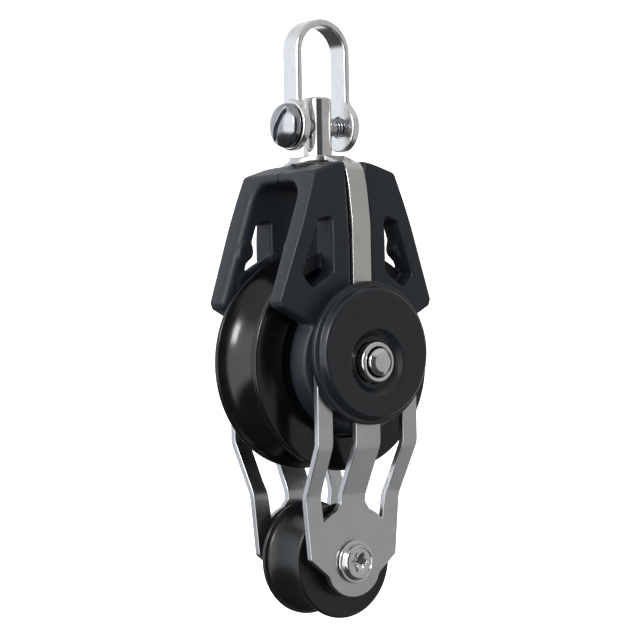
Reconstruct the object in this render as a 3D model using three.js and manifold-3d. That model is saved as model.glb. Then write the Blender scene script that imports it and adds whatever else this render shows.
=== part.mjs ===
// Swivel fiddle block for a boat: a large ball-bearing sheave over a small plain-bearing one, in two moulded
// cheek shells and two three-armed steel plates, hung from a swivel post and a shackle.
//
// Millimetres. +Z is up, Y runs along the sheave axles with the front at -Y, and X runs across the cheeks.
// Heights are measured from the upper axle; the finished group is then lowered so that its origin is the
// load point, the inside of the shackle bow's crown.

import * as THREE from 'three';
import { mergeVertices } from 'three/addons/utils/BufferGeometryUtils.js';
import Module from 'manifold-3d';

const wasm = await Module();
wasm.setup();

// ---------------------------------------------------------------- driving dimensions

const gap = 0.3; // clearance between neighbouring pieces

// A sheave's groove in section is a superellipse: a power below 2 opens it towards a V.
const sheave = { radius: 30, halfWidth: 9.76, lip: 1.6, root: 23.6, web: 20, bore: 13.8, power: 1.5 };
const smallSheave = { radius: 16, halfWidth: 8.5, lip: 1.3, root: 13.4, web: 9, bore: 5.6, power: 2.4 };
const lowerAxleHeight = -54.9;
const ball = { count: 14, radius: 2.2, pitch: 11.3 };
const hub = { radius: 8.8, halfWidth: 9.9 };
const retainer = { inner: 9.1, outer: 13.2, from: 3, to: 9.4 };

const axle = { radius: 3.8, halfLength: 27.2, chamfer: 0.7 };
const collar = { radius: 5.65, bore: 4.25, from: 20.7, to: 25.5 };

// The cap's face is a step smaller than its rim, and its dish is a shallow cone round the collar.
const cap = {
  radius: 19.6,
  rise: 2.5, // its middle stands this far above the axle
  back: 20.7,
  rim: 22.3,
  ledge: { outer: 19.2, inner: 18.2, from: 22.6, to: 22.8 },
  faceRadius: 17.5,
  face: 25,
  faceBevel: 0.5,
  dishRadius: 9.2,
  dishDepth: 2.1,
  dishFloor: 6.95,
};

const shell = {
  parting: 0.15, // half of the seam between the two shells
  inside: 10.2, // half-width of the rope space
  archTop: 49.2,
  archRadius: 5,
  face: 18.2, // height of the outer face at its middle
  edge: 16.5, // and at its left and right edges
  leanFrom: 34, // above this height the face leans in towards the top
  top: 55.2,
  neckTop: 55.4, // a round neck carries the strap's pad
  bossRadius: 20,
  bossFace: 18, // the boss's radius at its face
  seat: 16.1, // depth of the round seat for the strap's eye
  pocketMargin: 0.6, // room round the post's head
};

// Inside each window a ring follows the sheave's rim, and a round rib stiffens the outer jamb.
const guard = { inner: 27.5, outer: 31.2, from: 10.2, to: 12.2 };
const rib = { x: 17.6, z: 31, radius: 2.4, to: 14 };

const strap = { thickness: 1.6, width: 6.3, eyeRadius: 8, padRadius: 8 };

const fork = {
  thickness: 2,
  outer: 20.4,
  inner: 13.1,
  bendTop: -22.5,
  bendBottom: -37.1,
  bendRadius: 6,
  discRadius: 17.2,
  lobeRadius: 9.8,
  lobeStart: -35.3, // degrees: where the lobe round the lower axle begins
  slotArc: 15.3, // radius, about the lower axle, of the lower ends of the slots
};

const post = { radius: 4, top: 73.8, headRadius: 6.3, headBottom: 51.2, headTop: 54.3 };
const washer = { radius: 6.5, bottom: 54.6, top: 55.6 };
const pin = { radius: 2.5, height: 65.7, end: 10.1, headRadius: 6.25, headStart: 10.2, headEnd: 14.2 };
const bow = { inside: 7.3, thickness: 2, halfWidth: 3.5, archCentre: 86.3, earRadius: 6.9, earOuter: 9.8 };

const lowerSleeve = { radius: 3.6, bore: 2.9, headRadius: 5.95, headFrom: 13.4, headTo: 15.9 };
const lowerScrew = { radius: 2.6, end: 8, socketRadius: 3, socketDepth: 1.7 };
const lowerBush = { radius: 5.3, bore: 3.9 };
const spacer = { radius: 5.6, from: 8.8, to: 10.8 };

// ---------------------------------------------------------------- materials

const look = (color, roughness, metalness) => new THREE.MeshStandardMaterial({ color, roughness, metalness });

const shellPlastic = look(0x2b3037, 0.55, 0);
const capPlastic = look(0x25292d, 0.4, 0);
const sheavePlastic = look(0x18191b, 0.25, 0);
const bearingPlastic = look(0xe4e2da, 0.4, 0);
const satinSteel = look(0x9a9896, 0.35, 1);
const polishedSteel = look(0xc4c4c6, 0.12, 1);

// ---------------------------------------------------------------- geometry helpers

// A closed three.js geometry as a solid that can be joined and cut.
function toSolid(geometry) {
  const bare = geometry.clone();
  bare.deleteAttribute('normal');
  bare.deleteAttribute('uv');
  const merged = mergeVertices(bare, 1e-4);
  const mesh = new wasm.Mesh({
    numProp: 3,
    vertProperties: new Float32Array(merged.attributes.position.array),
    triVerts: new Uint32Array(merged.index.array),
  });
  return new wasm.Manifold(mesh);
}

function toGeometry(solid) {
  const mesh = solid.getMesh();
  const geometry = new THREE.BufferGeometry();
  geometry.setAttribute('position', new THREE.BufferAttribute(new Float32Array(mesh.vertProperties), 3));
  geometry.setIndex(new THREE.BufferAttribute(new Uint32Array(mesh.triVerts), 1));
  return geometry;
}

const join = (first, ...others) => others.reduce((solid, other) => solid.add(other), first);
const cut = (first, ...others) => others.reduce((solid, other) => solid.subtract(other), first);

// Corners [a, b, radius] joined by straight lines, each corner rounded off in a few chords.
function rounded(corners, closed, steps = 4) {
  const count = corners.length;
  const points = [];
  corners.forEach(([a, b, radius = 0], i) => {
    const here = new THREE.Vector2(a, b);
    const isEnd = !closed && (i === 0 || i === count - 1);
    if (radius === 0 || isEnd) {
      points.push(here);
      return;
    }
    const before = new THREE.Vector2(...corners[(i + count - 1) % count]).sub(here).normalize();
    const after = new THREE.Vector2(...corners[(i + 1) % count]).sub(here).normalize();
    const reach = radius / Math.tan(Math.acos(before.dot(after)) / 2);
    const start = here.clone().addScaledVector(before, reach);
    const end = here.clone().addScaledVector(after, reach);
    points.push(...new THREE.QuadraticBezierCurve(start, here, end).getPoints(steps));
  });
  return points;
}

// The right half of a symmetrical outline, completed by its mirror image.
function mirrored(rightHalf) {
  const leftHalf = rightHalf.map(([x, z, radius]) => [-x, z, radius]).reverse();
  return [...rightHalf, ...leftHalf].filter(([x], i) => x !== 0 || i < rightHalf.length);
}

// An open path moved sideways by a distance, with mitred corners.
function offsetPath(points, distance) {
  return points.map((point, i) => {
    const before = points[Math.max(i - 1, 0)];
    const after = points[Math.min(i + 1, points.length - 1)];
    const into = i > 0 ? point.clone().sub(before).normalize() : null;
    const away = i < points.length - 1 ? after.clone().sub(point).normalize() : null;
    const first = into ?? away;
    const second = away ?? into;
    const along = first.clone().add(second).normalize();
    const side = new THREE.Vector2(-along.y, along.x);
    return point.clone().addScaledVector(side, distance / along.dot(first));
  });
}

// A strip of even thickness: the path is its outside and the other side lies `thickness` to its left.
const stripOutline = (path, thickness) => [...path, ...offsetPath(path, thickness).reverse()];

function extruded(points, depth) {
  return new THREE.ExtrudeGeometry(new THREE.Shape(points), { depth, bevelEnabled: false });
}

// An outline in X and Z, extruded along Y from one plane to the other.
function plateXZ(points, fromY, toY) {
  return extruded(points, toY - fromY).rotateX(Math.PI / 2).translate(0, toY, 0);
}

// An outline in Y and Z, extruded along X to both sides of the middle.
function barYZ(points, halfWidth) {
  const turn = new THREE.Matrix4().makeBasis(
    new THREE.Vector3(0, 1, 0),
    new THREE.Vector3(0, 0, 1),
    new THREE.Vector3(1, 0, 0),
  );
  return extruded(points, 2 * halfWidth).applyMatrix4(turn).translate(-halfWidth, 0, 0);
}

// An outline in X and Y, extruded upwards.
function prismXY(points, fromZ, toZ) {
  return extruded(points, toZ - fromZ).translate(0, 0, fromZ);
}

// Profiles are lists of [radius, distance along the axis], and end where they begin or on the axis.
function turned(profile, segments) {
  const points = profile.map(([radius, along]) => new THREE.Vector2(radius, along));
  return new THREE.LatheGeometry(points, segments);
}

const turnedOnY = (profile, segments) => turned(profile, segments);
const turnedOnZ = (profile, segments) => turned(profile, segments).rotateX(Math.PI / 2);
const turnedOnX = (profile, segments) => turned(profile, segments).rotateZ(-Math.PI / 2);

const rod = (radius, from, to) => [[0, from], [radius, from], [radius, to], [0, to]];
const ring = (inner, outer, from, to) => [
  [inner, from],
  [outer, from],
  [outer, to],
  [inner, to],
  [inner, from],
];

// ---------------------------------------------------------------- shackle and swivel

function shackleBow() {
  const { inside, thickness, halfWidth, archCentre, earRadius, earOuter } = bow;
  const outside = inside + thickness;
  const outline = new THREE.Shape();
  outline.moveTo(outside, pin.height);
  outline.lineTo(outside, archCentre);
  outline.absarc(0, archCentre, outside, 0, Math.PI, false);
  outline.lineTo(-outside, pin.height);
  outline.lineTo(-inside, pin.height);
  outline.lineTo(-inside, archCentre);
  outline.absarc(0, archCentre, inside, Math.PI, 0, true);
  outline.lineTo(inside, pin.height);
  const strip = toSolid(plateXZ(outline.getPoints(14), -halfWidth, halfWidth));
  const ear = rod(earRadius, inside, earOuter);
  const ears = [1, -1].map((side) => {
    const disc = turnedOnX(ear, 32);
    if (side < 0) disc.rotateZ(Math.PI);
    return toSolid(disc.translate(0, 0, pin.height));
  });
  const hole = turnedOnX(rod(pin.radius + gap, -12, 12), 24).translate(0, 0, pin.height);
  return toGeometry(cut(join(strip, ...ears), toSolid(hole)));
}

// The head has a screwdriver slot, and the far end is threaded for the bow's right ear.
function shacklePin() {
  const { radius, end, headRadius, headStart, headEnd } = pin;
  const thread = { start: 4.6, turns: 6, pitch: 0.8, depth: 0.35 };
  const slot = { width: 1.3, depth: 1.8, tilt: 30 };
  const domeRadius = 10;
  const dome = [0, 0.35, 0.7, 1].map((share) => {
    const reach = share * headRadius;
    return [reach, -headEnd + domeRadius - Math.sqrt(domeRadius ** 2 - reach ** 2)];
  });
  const profile = [
    ...dome,
    [headRadius, -headStart],
    [radius, -headStart],
  ];
  for (let turn = 0; turn < thread.turns; turn += 1) {
    const x = thread.start + turn * thread.pitch;
    profile.push([radius, x], [radius - thread.depth, x + thread.pitch / 2]);
  }
  profile.push([radius, end - 0.6], [radius - 0.5, end], [0, end]);
  const blank = toSolid(turnedOnX(profile, 22));
  const blade = new THREE.BoxGeometry(2 * slot.depth, slot.width, 4 * headRadius)
    .rotateX(THREE.MathUtils.degToRad(slot.tilt))
    .translate(-headEnd, 0, 0);
  return toGeometry(cut(blank, toSolid(blade)));
}

// The post's head bears on the washer under the strap's crown; the shackle pin crosses its upper end.
function swivelPost() {
  const { radius, top, headRadius, headBottom, headTop } = post;
  const profile = [
    [0, headBottom],
    [headRadius, headBottom],
    [headRadius, headTop],
    [radius, headTop],
    [radius, top - 0.5],
    [radius - 0.5, top],
    [0, top],
  ];
  const hole = turnedOnX(rod(pin.radius + gap, -6, 6), 24).translate(0, 0, pin.height);
  return toGeometry(cut(toSolid(turnedOnZ(profile, 36)), toSolid(hole)));
}

const swivelWasher = () => turnedOnZ(ring(post.radius + gap, washer.radius, washer.bottom, washer.top), 32);

// ---------------------------------------------------------------- load strap

// One leg of the strap's outer face, in Y and Z, from the axle up the front cheek to the crown.
function strapLeg() {
  return [
    [-18, -strap.eyeRadius - 1],
    [-18, 17.6, 3],
    [-19.1, 21.6, 3],
    [-19.1, 38, 20],
    [-17.8, 48.5, 12],
    [-16.3, 54.2, 3.4],
    [-8, 57.3, 6],
  ];
}

function strapPath() {
  const leg = strapLeg();
  const otherLeg = leg.map(([y, z, radius]) => [-y, z, radius]).reverse();
  return rounded([...leg, ...otherLeg], false, 3);
}

function loadStrap() {
  // The path climbs the front and comes down the rear, so the strap's inside lies to its right.
  const band = toSolid(barYZ(stripOutline(strapPath(), -strap.thickness), strap.padRadius + 1));
  const bar = toSolid(new THREE.BoxGeometry(strap.width, 60, 90).translate(0, 0, 30));
  const pad = toSolid(turnedOnZ(rod(strap.padRadius, 50, 60), 36));
  const eyes = toSolid(turnedOnY(rod(strap.eyeRadius, -30, 30), 36));
  const tail = toSolid(new THREE.BoxGeometry(40, 60, 40).translate(0, 0, -20));
  const outline = join(cut(bar, tail), pad, eyes);
  const postHole = toSolid(turnedOnZ(rod(post.radius + gap, 50, 60), 28));
  const axleHole = toSolid(turnedOnY(rod(axle.radius + gap, -30, 30), 28));
  return toGeometry(cut(band.intersect(outline), postHole, axleHole));
}

// ---------------------------------------------------------------- cheek shells

// A shell's front outline, above the round boss that carries the axle.
function cheekOutline() {
  const rightHalf = [
    [15, 9.9],
    [25.7, 15.2, 1.2],
    [26.4, 17, 1.5],
    [14, 52.2, 1.8],
    [3.2, 55.7, 3],
    [0, 55.8],
  ];
  return rounded(mirrored(rightHalf), true, 3);
}

function windowOutline() {
  return rounded(
    [
      [9.1, 40, 1.2],
      [14, 38.6, 1.5],
      [19, 24, 1.5],
      [16, 20.2, 1.5],
      [9.1, 24.6, 1.2],
    ],
    true,
    3,
  );
}

// The front shell; the rear one is the same shape turned half a turn about Z.
function cheekShell() {
  const { parting, inside, archTop, archRadius, face, edge, leanFrom, top, neckTop } = shell;
  const { bossRadius, bossFace } = shell;
  const plate = toSolid(plateXZ(cheekOutline(), -20, -parting));
  const bossProfile = [[0, -20], [bossFace, -20], [bossRadius, -15.5], [bossRadius, -2], [0, -2]];
  const boss = toSolid(turnedOnY(bossProfile, 40));

  // The outer face bows out across the cheek, and leans in towards the top.
  const across = rounded([[-28, 1], [-28, -edge], [0, -face - 1.6, 60], [28, -edge], [28, 1]], true, 8);
  const upright = [
    [1, -30],
    [-face, -30],
    [-face, leanFrom, 10],
    [-edge, top, 1.5],
    [1, top + 0.8],
  ];
  const crown = toSolid(prismXY(across, -30, 70)).intersect(toSolid(barYZ(rounded(upright, true), 30)));

  const archCorners = [[-inside, -30], [-inside, archTop, archRadius], [2, archTop], [2, -30]];
  const ropeSpace = toSolid(barYZ(rounded(archCorners, true), 40));

  const channelBed = offsetPath(strapPath(), -strap.thickness - gap);
  const channelShape = [...channelBed, new THREE.Vector2(40, -20), new THREE.Vector2(40, 80)];
  channelShape.push(new THREE.Vector2(-40, 80), new THREE.Vector2(-40, -20));
  const channel = toSolid(barYZ(channelShape, strap.width / 2 + gap));
  const eyeSeat = toSolid(turnedOnY(rod(strap.eyeRadius + gap, -30, -shell.seat), 36));
  const axleHole = toSolid(turnedOnY(rod(axle.radius + gap, -30, 2), 28));
  const padRoom = toSolid(turnedOnZ(rod(strap.padRadius + gap, 40, 80), 36));
  const padSeat = toSolid(barYZ(channelShape, 20)).intersect(padRoom);
  const headPocket = toSolid(turnedOnZ(rod(post.headRadius + shell.pocketMargin, 40, 70), 32));
  const openings = [1, -1].map((side) => {
    const opening = plateXZ(windowOutline(), -30, 0);
    if (side < 0) opening.rotateZ(Math.PI).translate(0, -30, 0);
    return toSolid(opening);
  });

  const neckProfile = rod(strap.padRadius + gap, archTop, neckTop);
  const halfSpace = toSolid(new THREE.BoxGeometry(60, 20, 60).translate(0, -10 - parting, archTop));
  const neck = toSolid(turnedOnZ(neckProfile, 36)).intersect(halfSpace);
  const body = join(plate, boss).intersect(crown);
  const cheek = cut(join(body, neck), ropeSpace, channel, padSeat, eyeSeat, axleHole, headPocket, ...openings);
  return toGeometry(join(cheek, windowGuard()));
}

// The part of the guard ring that crosses the windows, with a rib at each outer window edge.
function windowGuard() {
  const ringProfile = ring(guard.inner, guard.outer, -guard.to, -guard.from);
  const acrossWindows = [1, -1].map((side) => {
    const sector = new THREE.BoxGeometry(12, 20, 30).translate(side * 14.5, -15, 33);
    return toSolid(turnedOnY(ringProfile, 96)).intersect(toSolid(sector));
  });
  const ribs = [1, -1].map((side) => {
    const profile = rod(rib.radius, -rib.to, -guard.from);
    return toSolid(turnedOnY(profile, 24).translate(side * rib.x, 0, rib.z));
  });
  return join(...acrossWindows, ...ribs);
}

// ---------------------------------------------------------------- fork plates

// Points of an arc in X and Z about a centre on the plate's middle line, angles in degrees.
function arcPoints(radius, centreZ, fromDegrees, toDegrees, steps) {
  return Array.from({ length: steps + 1 }, (unused, step) => {
    const angle = THREE.MathUtils.degToRad(fromDegrees + ((toDegrees - fromDegrees) * step) / steps);
    return [radius * Math.cos(angle), centreZ + radius * Math.sin(angle)];
  });
}

// A plate's outline: a disc under the hub cap, straight sides, and a lobe round the lower axle.
function forkOutline() {
  const { discRadius, lobeRadius, lobeStart } = fork;
  const disc = arcPoints(discRadius, 0, 180, 0, 12);
  const rightSide = [
    [discRadius, fork.bendTop, 12],
    [16.3, fork.bendBottom, 12],
    [14.7, -53.75, 0.8],
    [8.8, -58.5, 2.5],
  ];
  const lobe = arcPoints(lobeRadius, lowerAxleHeight, lobeStart, -180 - lobeStart, 10);
  const leftSide = rightSide.map(([x, z, radius]) => [-x, z, radius]).reverse();
  return rounded([...disc, ...rightSide, ...lobe, ...leftSide], true, 3);
}

// The gap between the middle arm and the right one; its lower end is an arc about the lower axle.
function forkSlotOutline() {
  const top = -11.5;
  const middleArm = 4.2;
  const rightArm = 12.2;
  const lowerEnd = arcPoints(fork.slotArc, lowerAxleHeight, 68, 48, 4);
  const corners = [
    [middleArm, top],
    [middleArm, -38.6, 1.5],
    ...lowerEnd,
    [11.7, -34, 6],
    [rightArm, fork.bendTop, 6],
    [rightArm, top],
  ];
  return rounded(corners, true, 3);
}

// The front plate; the rear one is the same shape turned half a turn about Z.
function forkPlate() {
  const { thickness, outer, inner, bendTop, bendBottom, bendRadius } = fork;
  const bends = [
    [-inner, -70],
    [-inner, bendBottom, bendRadius],
    [-outer, bendTop, bendRadius],
    [-outer, 20],
  ];
  const sheet = toSolid(barYZ(stripOutline(rounded(bends, false, 3), -thickness), 20));
  const outline = toSolid(plateXZ(forkOutline(), -30, 0));
  const slots = [1, -1].map((side) => {
    const slot = plateXZ(forkSlotOutline(), -30, 0);
    if (side < 0) slot.rotateZ(Math.PI).translate(0, -30, 0);
    return toSolid(slot);
  });
  const upperHole = toSolid(turnedOnY(rod(axle.radius + gap, -30, 0), 28));
  const lowerHole = turnedOnY(rod(lowerSleeve.radius + gap, -30, 0), 28).translate(0, 0, lowerAxleHeight);
  return toGeometry(cut(sheet.intersect(outline), ...slots, upperHole, toSolid(lowerHole)));
}

// ---------------------------------------------------------------- hub caps and upper axle

// The cap stands above the axle's centre line, and its dish is centred on the axle.
function hubCap() {
  const { radius, rise, back, rim, ledge, faceRadius, face, faceBevel } = cap;
  const { dishRadius, dishDepth, dishFloor } = cap;
  const profile = [
    [0, -face],
    [faceRadius - 0.8, -face],
    [faceRadius, -face + faceBevel],
    [ledge.inner, -ledge.to],
    [ledge.outer, -ledge.from],
    [radius, -rim],
    [radius, -back],
    [0, -back],
  ];
  const body = toSolid(turnedOnY(profile, 44).translate(0, 0, rise));
  const through = 30;
  const hollow = [
    [0, -through],
    [dishRadius + 0.1, -through],
    [dishRadius, -face],
    [dishFloor, -face + dishDepth],
    [collar.radius + gap, -face + dishDepth],
    [collar.radius + gap, -back + 1],
    [0, -back + 1],
  ];
  return toGeometry(cut(body, toSolid(turnedOnY(hollow, 36))));
}

function axlePin() {
  const { radius, halfLength, chamfer } = axle;
  return turnedOnY(
    [
      [0, -halfLength],
      [radius - chamfer, -halfLength],
      [radius, -halfLength + chamfer],
      [radius, halfLength - chamfer],
      [radius - chamfer, halfLength],
      [0, halfLength],
    ],
    28,
  );
}

function axleCollar() {
  const { radius, bore, from, to } = collar;
  const chamfer = 0.4;
  const profile = [
    [bore, -to],
    [radius - chamfer, -to],
    [radius, -to + chamfer],
    [radius, -from],
    [bore, -from],
  ];
  return turnedOnY([...profile, profile[0]], 32);
}

// ---------------------------------------------------------------- sheaves and bearing

// Half of a rope groove in section, from the lip down to the root: a quarter of a superellipse.
function grooveCurve(lipRadius, rootRadius, halfWidth, power, steps) {
  const points = [];
  for (let step = 0; step <= steps; step += 1) {
    const along = Math.sin((Math.PI / 2) * (step / steps));
    const depth = (1 - (1 - along) ** power) ** (1 / power);
    points.push([lipRadius - (lipRadius - rootRadius) * depth, -halfWidth * (1 - along)]);
  }
  return points;
}

// A grooved wheel with a straight bore and a shallow recess in each side face.
function sheaveWheel({ radius, halfWidth, lip, root, bore, web, power }, grooveSteps, segments) {
  const recess = 0.8;
  const chamfer = 0.5;
  const half = [
    [bore, -halfWidth + recess],
    [web, -halfWidth + recess],
    [web + recess, -halfWidth],
    [radius - chamfer, -halfWidth],
    [radius, -halfWidth + chamfer],
    ...grooveCurve(radius, root, halfWidth - lip, power, grooveSteps),
  ];
  const otherHalf = half.slice(0, -1).reverse().map(([r, y]) => [r, -y]);
  return turnedOnY([...half, ...otherHalf, half[0]], segments);
}

const upperWheel = () => sheaveWheel(sheave, 5, 48);
const lowerWheel = () => sheaveWheel(smallSheave, 3, 36);

const axleHub = () => turnedOnY(ring(axle.radius + gap, hub.radius, -hub.halfWidth, hub.halfWidth), 32);
const ballRetainer = () => turnedOnY(ring(retainer.inner, retainer.outer, -retainer.to, -retainer.from), 32);
const bearingBall = () => new THREE.IcosahedronGeometry(ball.radius, 1);

// ---------------------------------------------------------------- lower axle

// A shallow button head with a flange, from the plate outwards.
function buttonHead({ headRadius, headFrom, headTo }, shankRadius) {
  return [
    [shankRadius, headFrom],
    [headRadius, headFrom],
    [headRadius, headFrom + 0.7],
    [headRadius - 1.1, headTo - 0.2],
    [headRadius - 1.8, headTo],
    [0, headTo],
  ];
}

function lobedOutline(radius, lobes, steps) {
  return Array.from({ length: steps }, (unused, step) => {
    const angle = (2 * Math.PI * step) / steps;
    const reach = radius * (0.89 + 0.11 * Math.cos(lobes * angle));
    return new THREE.Vector2(reach * Math.cos(angle), reach * Math.sin(angle));
  });
}

// The screw enters from the front and has a six-lobed socket.
function lowerAxleScrew() {
  const { radius, end, socketRadius, socketDepth } = lowerScrew;
  const profile = [[0, -end], [radius, -end], ...buttonHead(lowerSleeve, radius)];
  const blank = toSolid(turnedOnY(profile, 32).rotateX(Math.PI));
  const socket = plateXZ(lobedOutline(socketRadius, 6, 36), -20, -lowerSleeve.headTo + socketDepth);
  return toGeometry(cut(blank, toSolid(socket)));
}

// The sleeve is the small sheave's axle, with its own head at the rear.
function lowerAxleSleeve() {
  const { radius, bore, headFrom } = lowerSleeve;
  const profile = [[bore, -headFrom + gap], [radius, -headFrom + gap], ...buttonHead(lowerSleeve, radius)];
  profile.push([0, 9.5], [bore, 9.5], [bore, -headFrom + gap]);
  return turnedOnY(profile, 32);
}

function bushing() {
  return turnedOnY(ring(lowerBush.bore, lowerBush.radius, -smallSheave.halfWidth, smallSheave.halfWidth), 32);
}

function spacerWasher() {
  return turnedOnY(ring(lowerSleeve.radius + gap, spacer.radius, -spacer.to, -spacer.from), 32);
}

// ---------------------------------------------------------------- assembly

const block = new THREE.Group();

function place(name, geometry, material, { turn = 0, height = 0 } = {}) {
  const mesh = new THREE.Mesh(geometry, material);
  mesh.name = name;
  mesh.rotation.z = turn;
  mesh.position.z = height;
  block.add(mesh);
  return mesh;
}

place('shackle_bow', shackleBow(), polishedSteel);
place('shackle_pin', shacklePin(), polishedSteel, { height: pin.height });
place('swivel_post', swivelPost(), polishedSteel);
place('swivel_washer', swivelWasher(), bearingPlastic);
place('load_strap', loadStrap(), satinSteel);
place('axle_pin', axlePin(), polishedSteel);
place('axle_hub', axleHub(), satinSteel);
place('upper_sheave', upperWheel(), sheavePlastic);

for (let index = 0; index < ball.count; index += 1) {
  const angle = (2 * Math.PI * index) / ball.count;
  const mesh = place(`bearing_ball_${String(index + 1).padStart(2, '0')}`, bearingBall(), bearingPlastic);
  mesh.position.set(ball.pitch * Math.cos(angle), 0, ball.pitch * Math.sin(angle));
}

for (const [side, turn] of [['front', 0], ['rear', Math.PI]]) {
  place(`${side}_shell`, cheekShell(), shellPlastic, { turn });
  place(`${side}_fork_plate`, forkPlate(), satinSteel, { turn });
  place(`${side}_hub_cap`, hubCap(), capPlastic, { turn });
  place(`${side}_axle_collar`, axleCollar(), polishedSteel, { turn });
  place(`${side}_ball_retainer`, ballRetainer(), bearingPlastic, { turn });
  place(`${side}_spacer_washer`, spacerWasher(), polishedSteel, { turn, height: lowerAxleHeight });
}

place('lower_axle_screw', lowerAxleScrew(), polishedSteel, { height: lowerAxleHeight });
place('lower_axle_sleeve', lowerAxleSleeve(), polishedSteel, { height: lowerAxleHeight });
place('lower_bush', bushing(), bearingPlastic, { height: lowerAxleHeight });
place('lower_sheave', lowerWheel(), sheavePlastic, { height: lowerAxleHeight });

const bowCrown = bow.archCentre + bow.inside;
block.position.z = -bowCrown;

const fiddleBlock = new THREE.Group();
fiddleBlock.add(block);
fiddleBlock.updateMatrixWorld(true);

export default fiddleBlock;
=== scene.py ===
"""The looks of a swivel fiddle block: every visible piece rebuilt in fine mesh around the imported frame."""

import math

import bmesh
import bpy
import numpy as np
from mathutils import Matrix, Vector
from mathutils.geometry import tessellate_polygon


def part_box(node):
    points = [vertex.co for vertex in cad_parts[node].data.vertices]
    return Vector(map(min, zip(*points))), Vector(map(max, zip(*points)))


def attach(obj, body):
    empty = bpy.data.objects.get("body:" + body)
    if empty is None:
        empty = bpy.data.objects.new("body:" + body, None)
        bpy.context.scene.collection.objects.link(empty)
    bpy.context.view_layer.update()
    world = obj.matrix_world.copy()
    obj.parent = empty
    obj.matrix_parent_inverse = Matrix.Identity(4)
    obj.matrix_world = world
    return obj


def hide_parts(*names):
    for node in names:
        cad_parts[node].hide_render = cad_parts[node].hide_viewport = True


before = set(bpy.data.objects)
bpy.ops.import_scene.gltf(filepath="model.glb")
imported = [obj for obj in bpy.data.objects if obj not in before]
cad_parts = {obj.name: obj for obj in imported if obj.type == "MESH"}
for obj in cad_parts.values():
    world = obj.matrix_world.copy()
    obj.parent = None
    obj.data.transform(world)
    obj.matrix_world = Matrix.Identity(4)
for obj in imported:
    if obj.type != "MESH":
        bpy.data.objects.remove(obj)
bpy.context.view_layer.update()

MM = 0.001


def centre(node):
    """A CAD node's middle, in metres."""
    low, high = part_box(node)
    return (low + high) / 2


def extent(node):
    """A CAD node's box size, in millimetres."""
    low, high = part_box(node)
    return (high - low) / MM


# ---- driving dimensions
# Millimetres, measured from the upper axle's middle unless a line says otherwise.

UPPER_AXLE = centre("axle_pin")
LOWER_AXLE = centre("lower_bush")
DROP = (UPPER_AXLE - LOWER_AXLE).z / MM
PIN_HEIGHT = (centre("shackle_pin") - UPPER_AXLE).z / MM

SHEAVE_RADIUS = extent("upper_sheave").x / 2
SHEAVE_HALF = extent("upper_sheave").y / 2
SMALL_RADIUS = extent("lower_sheave").x / 2
SMALL_HALF = extent("lower_sheave").y / 2
CAP_RADIUS = extent("front_hub_cap").x / 2
CAP_RISE = (centre("front_hub_cap") - UPPER_AXLE).z / MM
COLLAR_RADIUS = extent("front_axle_collar").x / 2
AXLE_RADIUS = extent("axle_pin").x / 2
AXLE_HALF = extent("axle_pin").y / 2

POST_RADIUS = 4.0
POST_TOP = 73.8
POST_HEAD = {"radius": 6.3, "bottom": 51.2, "top": 54.3}
WASHER = {"radius": 6.5, "bottom": 54.6, "top": 55.6}

PIN_RADIUS = 2.5
PIN_HEAD = {"radius": 6.25, "dome_radius": 10.0, "start": -10.2, "end": -14.2}
PIN_SLOT = {"tilt": 30, "half_width": 0.75, "depth": 1.8}
PIN_THREAD = {"start": 4.2, "end": 10.1, "pitch": 1.0, "depth": 0.3}

BOW_INSIDE = 7.3
BOW_THICKNESS = 2.0
BOW_HALF_WIDTH = 3.5
BOW_ARCH = 86.3
EAR_RADIUS = 6.9
EAR_OUTER = 9.8

STRAP_THICKNESS = 1.6
STRAP_HALF_WIDTH = 3.15
STRAP_EYE = 8.0
PAD_LEVEL = 50  # the strap's points above this height belong to its pad
PAD_DROOP = {"from": 6.2, "rate": 0.3, "power": 1.5}

FORK_THICKNESS = 2.0
FORK_OUTER = 20.4
FORK_INNER = 13.1
FORK_BEND_TOP = -22.5
FORK_BEND_BOTTOM = -37.1
FORK_DISC = 17.2
FORK_LOBE = {"radius": 9.8, "start": -35.3}
FORK_SLOT = {"inner": 4.2, "outer": 12.2, "top": -11.5, "lower_arc": 15.3}

SHEAVE = {"lip": 1.6, "root": 23.6, "bore": 13.8, "recesses": [17.0, 20.4], "power": 1.5}
SMALL_SHEAVE = {"lip": 1.3, "root": 13.4, "bore": 5.6, "recesses": [9.0], "power": 2.4}
BALL = {"count": 14, "radius": 2.2, "pitch": 11.3}
RETAINER = {"inner": 9.1, "outer": 13.2, "low": -9.4, "high": -3.0}
HUB = {"outer": 8.8, "half": 9.9}
COLLAR = {"bore": 4.25, "back": -20.7, "face": -25.5}

LOWER_SLEEVE = {"radius": 3.6, "bore": 2.9, "end": 9.5}
LOWER_HEAD = {"radius": 5.95, "from": 13.4, "to": 15.9}  # the same at the front and at the rear
LOWER_BUSH = {"bore": 3.9, "radius": 5.3}
SPACER = {"bore": 3.9, "radius": 5.6, "low": -10.8, "high": -8.8}

CLEARANCE = 0.3


# ---- meshes


def new_piece(name, points, faces, origin=UPPER_AXLE):
    """A mesh object from points in millimetres about an origin in the frame."""
    mesh = bpy.data.meshes.new(name)
    place = np.asarray(points, float) * MM + np.array(origin)
    mesh.from_pydata(place.tolist(), [], [list(map(int, face)) for face in faces])
    mesh.validate()
    obj = bpy.data.objects.new(name, mesh)
    bpy.context.scene.collection.objects.link(obj)
    shade(obj)
    return obj


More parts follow.
